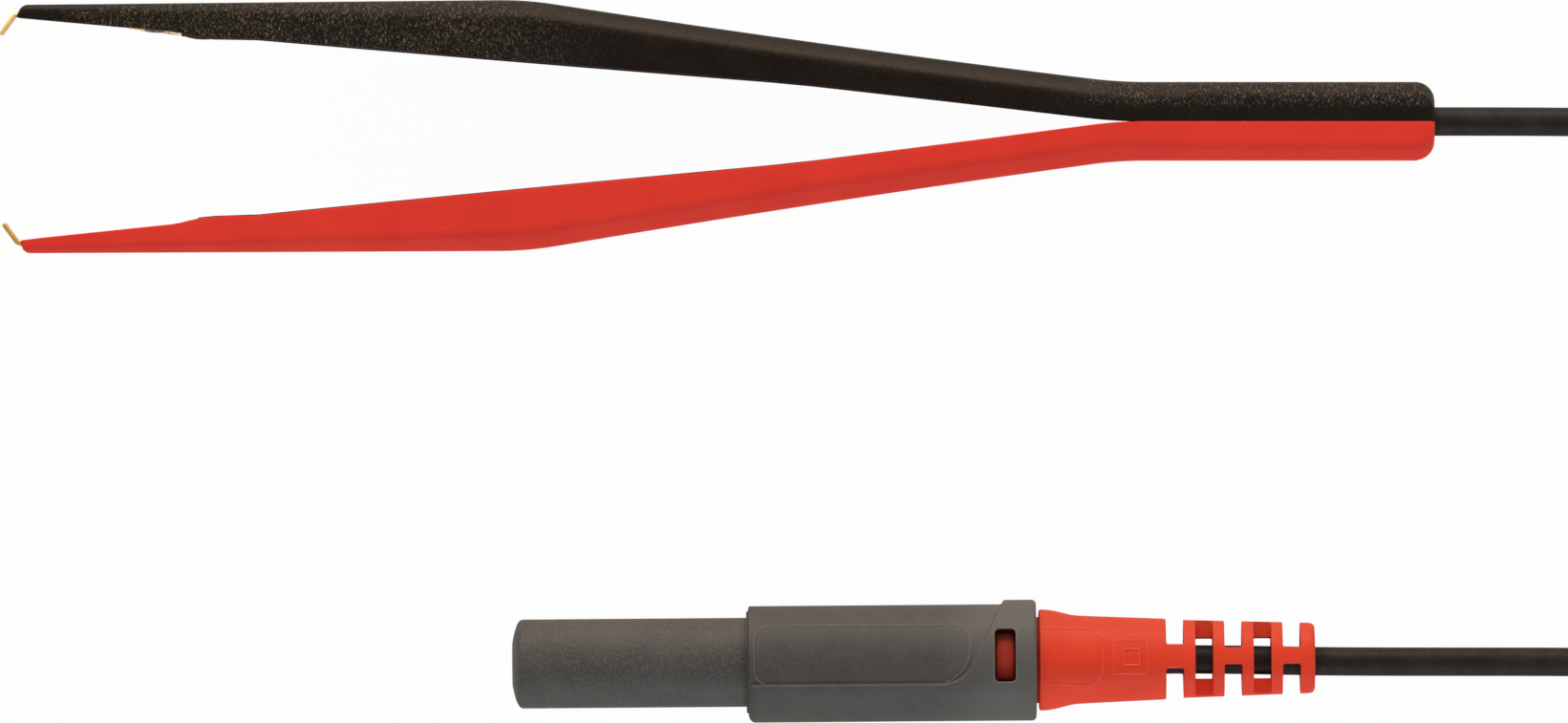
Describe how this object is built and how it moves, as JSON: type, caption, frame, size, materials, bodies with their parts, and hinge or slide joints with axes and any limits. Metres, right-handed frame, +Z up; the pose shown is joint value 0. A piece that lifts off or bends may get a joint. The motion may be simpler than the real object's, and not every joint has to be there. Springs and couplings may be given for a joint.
{
  "type": "tweezers test lead",
  "caption": "Test lead: sprung plastic tweezers with bent gold contact wires, a round cable and a safety plug with a retractable sleeve.",
  "frame": {"origin": "on the table, under the middle of the tweezers' bounding box, which leaves out the cable and the plug", "axes": "+X from the tweezers' tips towards the handle and its cable, +Y across the arms towards the black one, +Z up, away from the table that the tweezers and the plug lie on"},
  "size_m": [0.2362, 0.083, 0.0139],
  "materials": {
    "black_plastic": "eroded satin",
    "red_plastic": "satin",
    "gold_plate": "gold plated, bright",
    "tin": "tinned",
    "cable_black": "satin sheath",
    "grey_plastic": "matt moulded",
    "spring_steel": "drawn wire",
    "nickel": "nickel plated",
    "plug_red": "satin moulded",
    "copper": "bare copper"
  },
  "bodies": {
    "handle": {"black_handle_shell": "black_plastic", "red_handle_shell": "red_plastic", "cable_ferrule": "tin", "black_wire_tail": "black_plastic", "red_wire_tail": "red_plastic", "cable_to_coil": "cable_black", "cable_coil": "cable_black", "cable_to_plug": "cable_black", "grip_body": "grey_plastic", "insert": "plug_red", "contact_carrier": "grey_plastic", "contact_pin": "nickel", "contact_lamellas": "gold_plate", "conductor": "copper", "sleeve_spring": "spring_steel"},
    "black_arm": {"black_arm": "black_plastic", "black_arm_wire": "black_plastic", "black_contact_pin": "gold_plate", "black_splice": "tin", "black_wire_cover": "black_plastic"},
    "red_arm": {"red_arm": "red_plastic", "red_arm_wire": "red_plastic", "red_contact_pin": "gold_plate", "red_splice": "tin", "red_wire_cover": "black_plastic"},
    "sleeve": {"retractable_sleeve": "grey_plastic"}
  },
  "joints": [
    {"name": "black_flex", "type": "hinge", "parent": "handle", "child": "black_arm", "pos_m": [0.04623, 0.00288, 0.0055], "axis": [0, 0, 1], "range_deg": [0, 4.7], "stiffness_Nm_per_rad": 1.5},
    {"name": "red_flex", "type": "hinge", "parent": "handle", "child": "red_arm", "pos_m": [0.04623, -0.00161, 0.0055], "axis": [0, 0, -1], "range_deg": [0, 4.7], "stiffness_Nm_per_rad": 1.5},
    {"name": "sleeve_slide", "type": "slide", "parent": "handle", "child": "sleeve", "axis": [1, 0.0079, 0], "range_m": [0, 0.019], "stiffness_N_per_m": 80, "deforming": ["sleeve_spring"]}
  ],
  "couplings": [
    {"joint": "red_flex", "follows": "black_flex", "ratio": 1}
  ]
}
